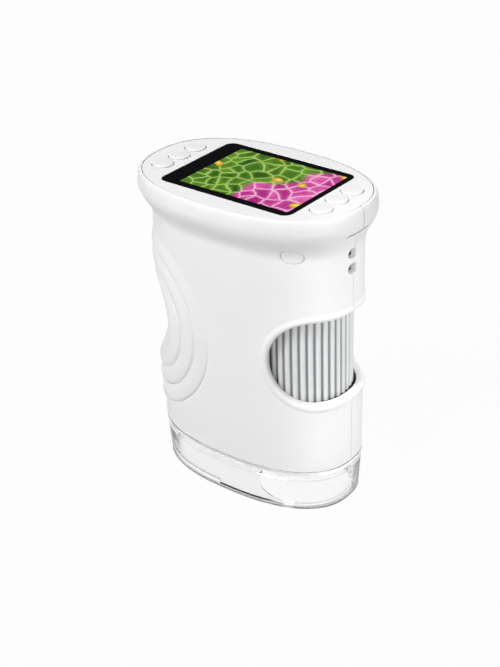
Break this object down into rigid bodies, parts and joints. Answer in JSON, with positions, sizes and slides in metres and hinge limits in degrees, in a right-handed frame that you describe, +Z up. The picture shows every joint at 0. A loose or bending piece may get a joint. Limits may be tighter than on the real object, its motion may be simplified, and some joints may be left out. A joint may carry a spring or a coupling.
{
  "type": "pocket microscope",
  "caption": "Hand-held digital microscope: oval housing with a screen and buttons on top, a ribbed focus drum in a finger window, a rippled grip and a clear lift-off stand.",
  "frame": {"origin": "centre of the clear stand's bottom face, on the table", "axes": "+X towards the end with the focus drum, -X towards the rippled grip, -Y the front half shell, +Z up towards the screen"},
  "size_m": [0.0804, 0.052, 0.1059],
  "materials": {
    "shell_white": "satin white moulded plastic",
    "panel_white": "satin white moulded plastic",
    "button_white": "polished white plastic",
    "screen_black": "glossy black-printed window with a lit picture area",
    "display_dark": "display module",
    "board_green": "solder-masked circuit board",
    "switch_black": "moulded black",
    "screw_steel": "plated steel",
    "socket_steel": "folded steel",
    "battery_wrap": "shrink-wrapped cell",
    "frame_plastic": "moulded plastic",
    "optics_black": "matt black moulded plastic",
    "drum_grey": "ribbed grey plastic",
    "cam_plastic": "moulded plastic",
    "lens_glass": "polished lens",
    "ribbon_amber": "flexible printed ribbon",
    "lamp_board_white": "white circuit board",
    "lamp_yellow": "lamp with a phosphor coat",
    "window_clear": "clear disc",
    "stand_clear": "clear polished plastic"
  },
  "bodies": {
    "housing": {"front_shell": "shell_white", "rear_shell": "shell_white", "top_panel": "panel_white", "screen_window": "screen_black", "display": "display_dark", "main_board": "board_green", "button_switches": "switch_black", "board_screws": "screw_steel", "card_socket": "socket_steel", "charging_port": "socket_steel", "battery": "battery_wrap", "inner_frame": "frame_plastic", "optics_tube": "optics_black", "sensor_mount": "optics_black", "sensor_board": "board_green", "image_sensor": "switch_black", "sensor_ribbon": "ribbon_amber", "lamp_board": "lamp_board_white", "lamps": "lamp_yellow", "light_window": "window_clear", "bottom_cover": "shell_white", "shell_screws": "screw_steel", "cover_screws": "screw_steel", "screw_plugs": "shell_white"},
    "button_left_1": {"button_left_1": "button_white"},
    "button_left_2": {"button_left_2": "button_white"},
    "button_left_3": {"button_left_3": "button_white"},
    "button_right_1": {"button_right_1": "button_white"},
    "button_right_2": {"button_right_2": "button_white"},
    "button_right_3": {"button_right_3": "button_white"},
    "focus_drum": {"focus_drum": "drum_grey", "cam_ring": "cam_plastic"},
    "lens": {"lens_barrel": "optics_black", "follower_pins": "screw_steel", "lens_elements": "lens_glass", "lens_retainer": "optics_black"},
    "stand": {"clear_stand": "stand_clear"}
  },
  "joints": [
    {"name": "housing_lift", "type": "slide", "parent": "stand", "child": "housing", "axis": [0, 0, 1], "range_m": [0, 0.018]},
    {"name": "focus_turn", "type": "hinge", "parent": "housing", "child": "focus_drum", "pos_m": [0.01723, 0, 0.056], "axis": [0, 0, 1], "range_deg": [-120, 120]},
    {"name": "lens_slide", "type": "slide", "parent": "housing", "child": "lens", "axis": [0, 0, 1], "range_m": [-0.00405, 0.00405]},
    {"name": "button_left_1_press", "type": "slide", "parent": "housing", "child": "button_left_1", "axis": [0, 0, -1], "range_m": [0, 0.0005], "stiffness_N_per_m": 800, "springref_m": -0.0006},
    {"name": "button_left_2_press", "type": "slide", "parent": "housing", "child": "button_left_2", "axis": [0, 0, -1], "range_m": [0, 0.0005], "stiffness_N_per_m": 800, "springref_m": -0.0006},
    {"name": "button_left_3_press", "type": "slide", "parent": "housing", "child": "button_left_3", "axis": [0, 0, -1], "range_m": [0, 0.0005], "stiffness_N_per_m": 800, "springref_m": -0.0006},
    {"name": "button_right_1_press", "type": "slide", "parent": "housing", "child": "button_right_1", "axis": [0, 0, -1], "range_m": [0, 0.0005], "stiffness_N_per_m": 800, "springref_m": -0.0006},
    {"name": "button_right_2_press", "type": "slide", "parent": "housing", "child": "button_right_2", "axis": [0, 0, -1], "range_m": [0, 0.0005], "stiffness_N_per_m": 800, "springref_m": -0.0006},
    {"name": "button_right_3_press", "type": "slide", "parent": "housing", "child": "button_right_3", "axis": [0, 0, -1], "range_m": [0, 0.0005], "stiffness_N_per_m": 800, "springref_m": -0.0006}
  ],
  "couplings": [
    {"joint": "lens_slide", "follows": "focus_turn", "m_per_rad": 0.0019099}
  ]
}
